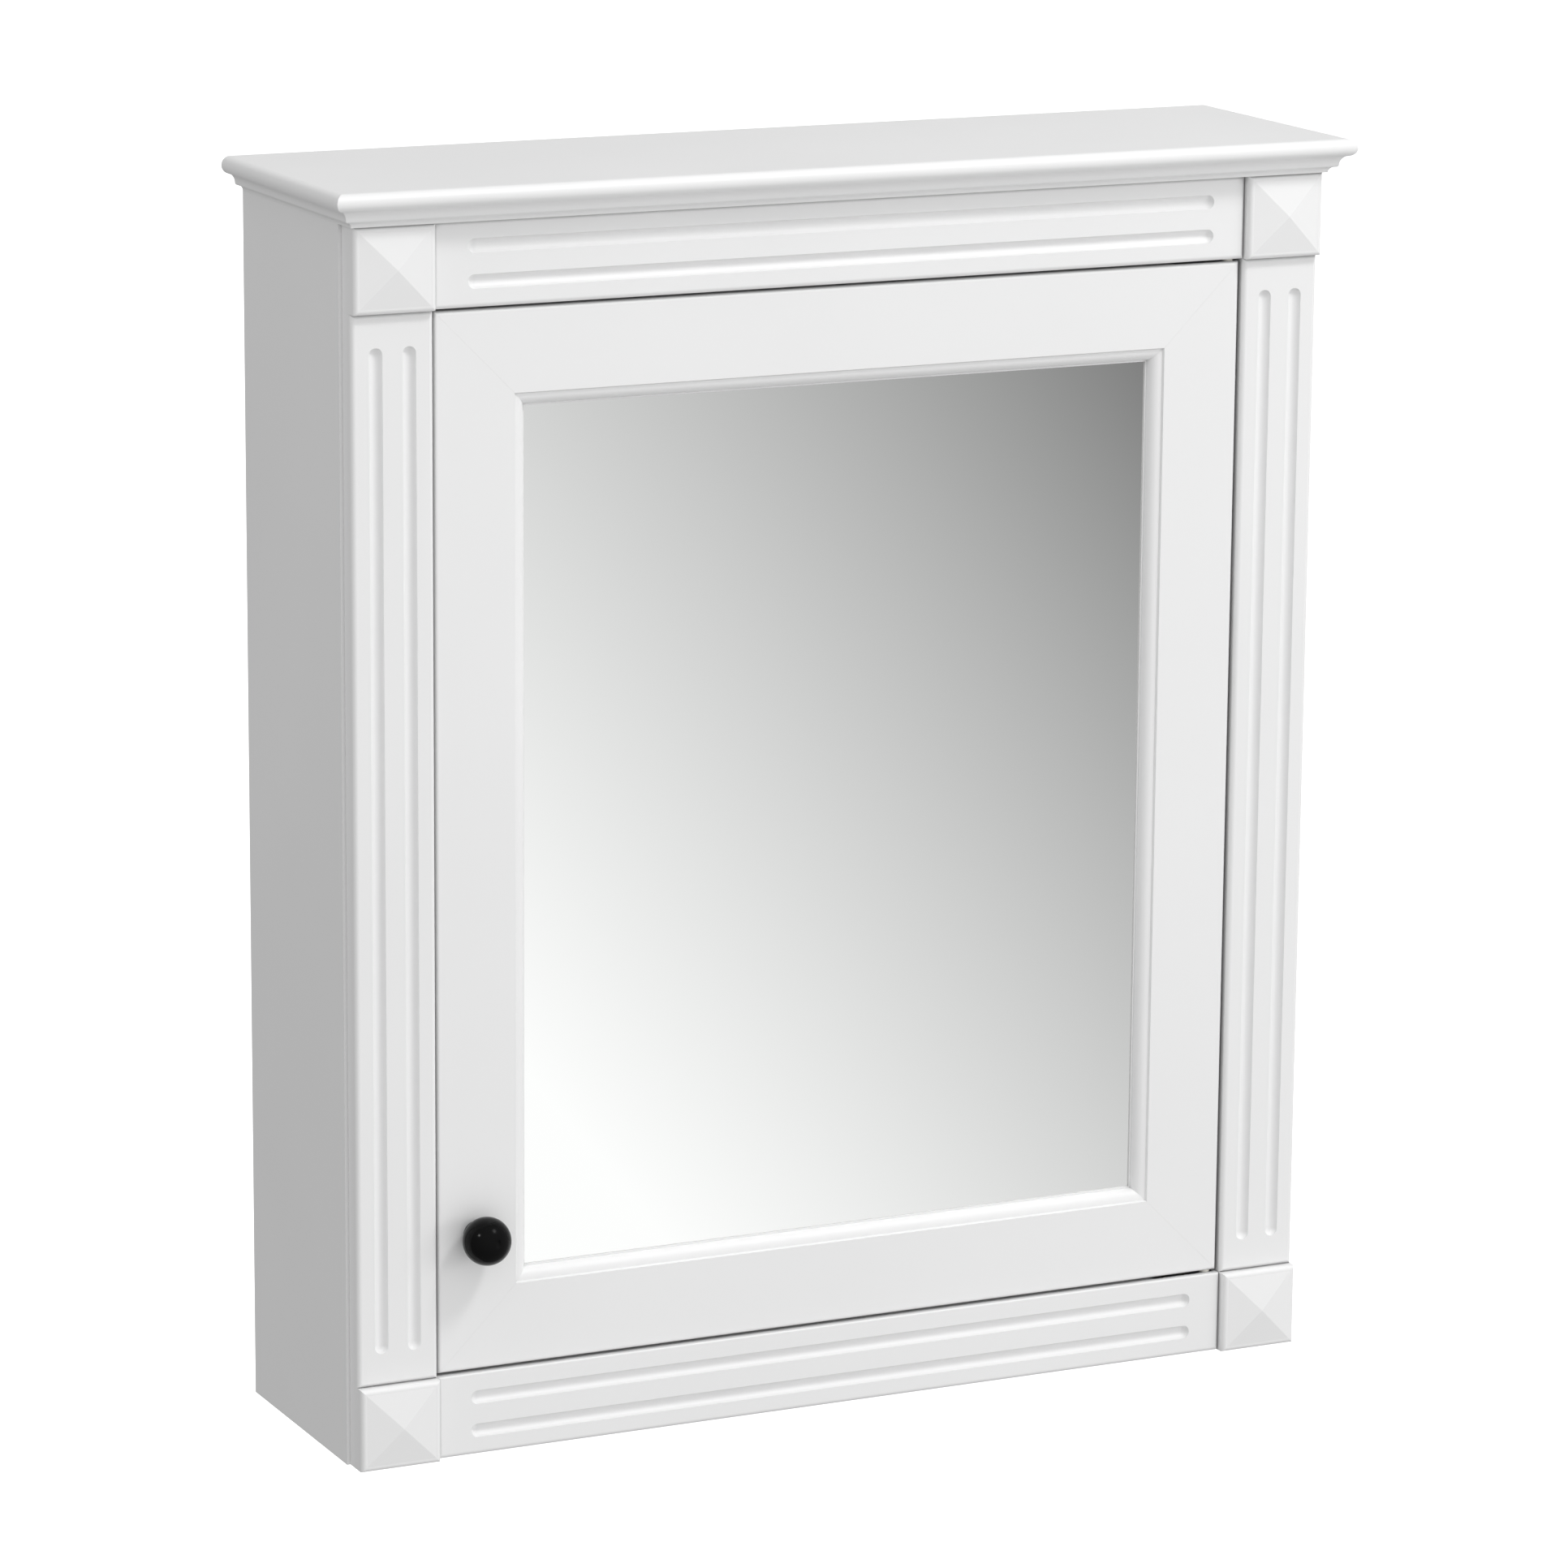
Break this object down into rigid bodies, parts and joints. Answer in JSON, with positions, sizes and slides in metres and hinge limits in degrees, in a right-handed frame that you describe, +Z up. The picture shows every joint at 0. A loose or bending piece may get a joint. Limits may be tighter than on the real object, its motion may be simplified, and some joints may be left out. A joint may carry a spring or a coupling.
{
  "type": "hanging wall cabinet",
  "caption": "Shallow white wall cabinet with a moulded cornice, fluted pilasters, corner blocks, adjustable shelves and one framed mirror door on a black ball knob.",
  "frame": {"origin": "middle of the two upper wall fixings, on the plane of the wall", "axes": "+X to the right seen from the front, +Y into the wall, +Z up; the door faces -Y"},
  "size_m": [0.6, 0.1745, 0.691],
  "materials": {
    "painted_mdf": "white satin lacquer on MDF",
    "hardboard": "raw hardboard",
    "beech": "raw beech",
    "mirror": "silvered float glass",
    "steel": "zinc plated steel",
    "zinc_screw": "bright zinc plated",
    "black_enamel": "gloss black enamel",
    "nylon": "natural nylon",
    "catch_plastic": "moulded white plastic",
    "ferrite": "sintered ferrite magnet"
  },
  "bodies": {
    "case": {"back_panel": "painted_mdf", "back_panel_screws": "zinc_screw", "case_ceiling": "painted_mdf", "case_dowels": "beech", "case_floor": "painted_mdf", "catch_case": "catch_plastic", "catch_magnet": "ferrite", "catch_screws": "zinc_screw", "corner_block_bottom_left": "painted_mdf", "corner_block_bottom_right": "painted_mdf", "corner_block_top_left": "painted_mdf", "corner_block_top_right": "painted_mdf", "frame_dowels": "beech", "frame_rail_bottom": "painted_mdf", "frame_rail_top": "painted_mdf", "hanging_rail": "painted_mdf", "hinge_frame_leaf_bottom": "steel", "hinge_frame_leaf_top": "steel", "hinge_frame_screws": "zinc_screw", "hinge_pin_bottom": "steel", "hinge_pin_top": "steel", "lower_fixing_rail": "painted_mdf", "pilaster_left": "painted_mdf", "pilaster_right": "painted_mdf", "shelf_lower": "painted_mdf", "shelf_pegs": "zinc_screw", "shelf_upper": "painted_mdf", "side_panel_left": "painted_mdf", "side_panel_right": "painted_mdf", "top_board": "painted_mdf", "top_board_screws": "zinc_screw"},
    "door": {"door_rail_bottom": "painted_mdf", "door_rail_top": "painted_mdf", "door_stile_left": "painted_mdf", "door_stile_right": "painted_mdf", "hinge_door_leaf_bottom": "steel", "hinge_door_leaf_top": "steel", "hinge_door_screws": "zinc_screw", "hinge_washers": "nylon", "knob": "black_enamel", "knob_bolt": "zinc_screw", "knob_rose": "black_enamel", "mirror_backing": "hardboard", "mirror_glass": "mirror", "mirror_strip_bottom": "painted_mdf", "mirror_strip_left": "painted_mdf", "mirror_strip_right": "painted_mdf", "mirror_strip_top": "painted_mdf", "mitre_splines": "beech", "strike_plate": "steel", "strike_screw": "zinc_screw"}
  },
  "joints": [
    {"name": "door_hinge", "type": "hinge", "parent": "case", "child": "door", "pos_m": [0.2336, -0.1423, -0.29], "axis": [0, 0, 1], "range_deg": [0, 100]}
  ]
}
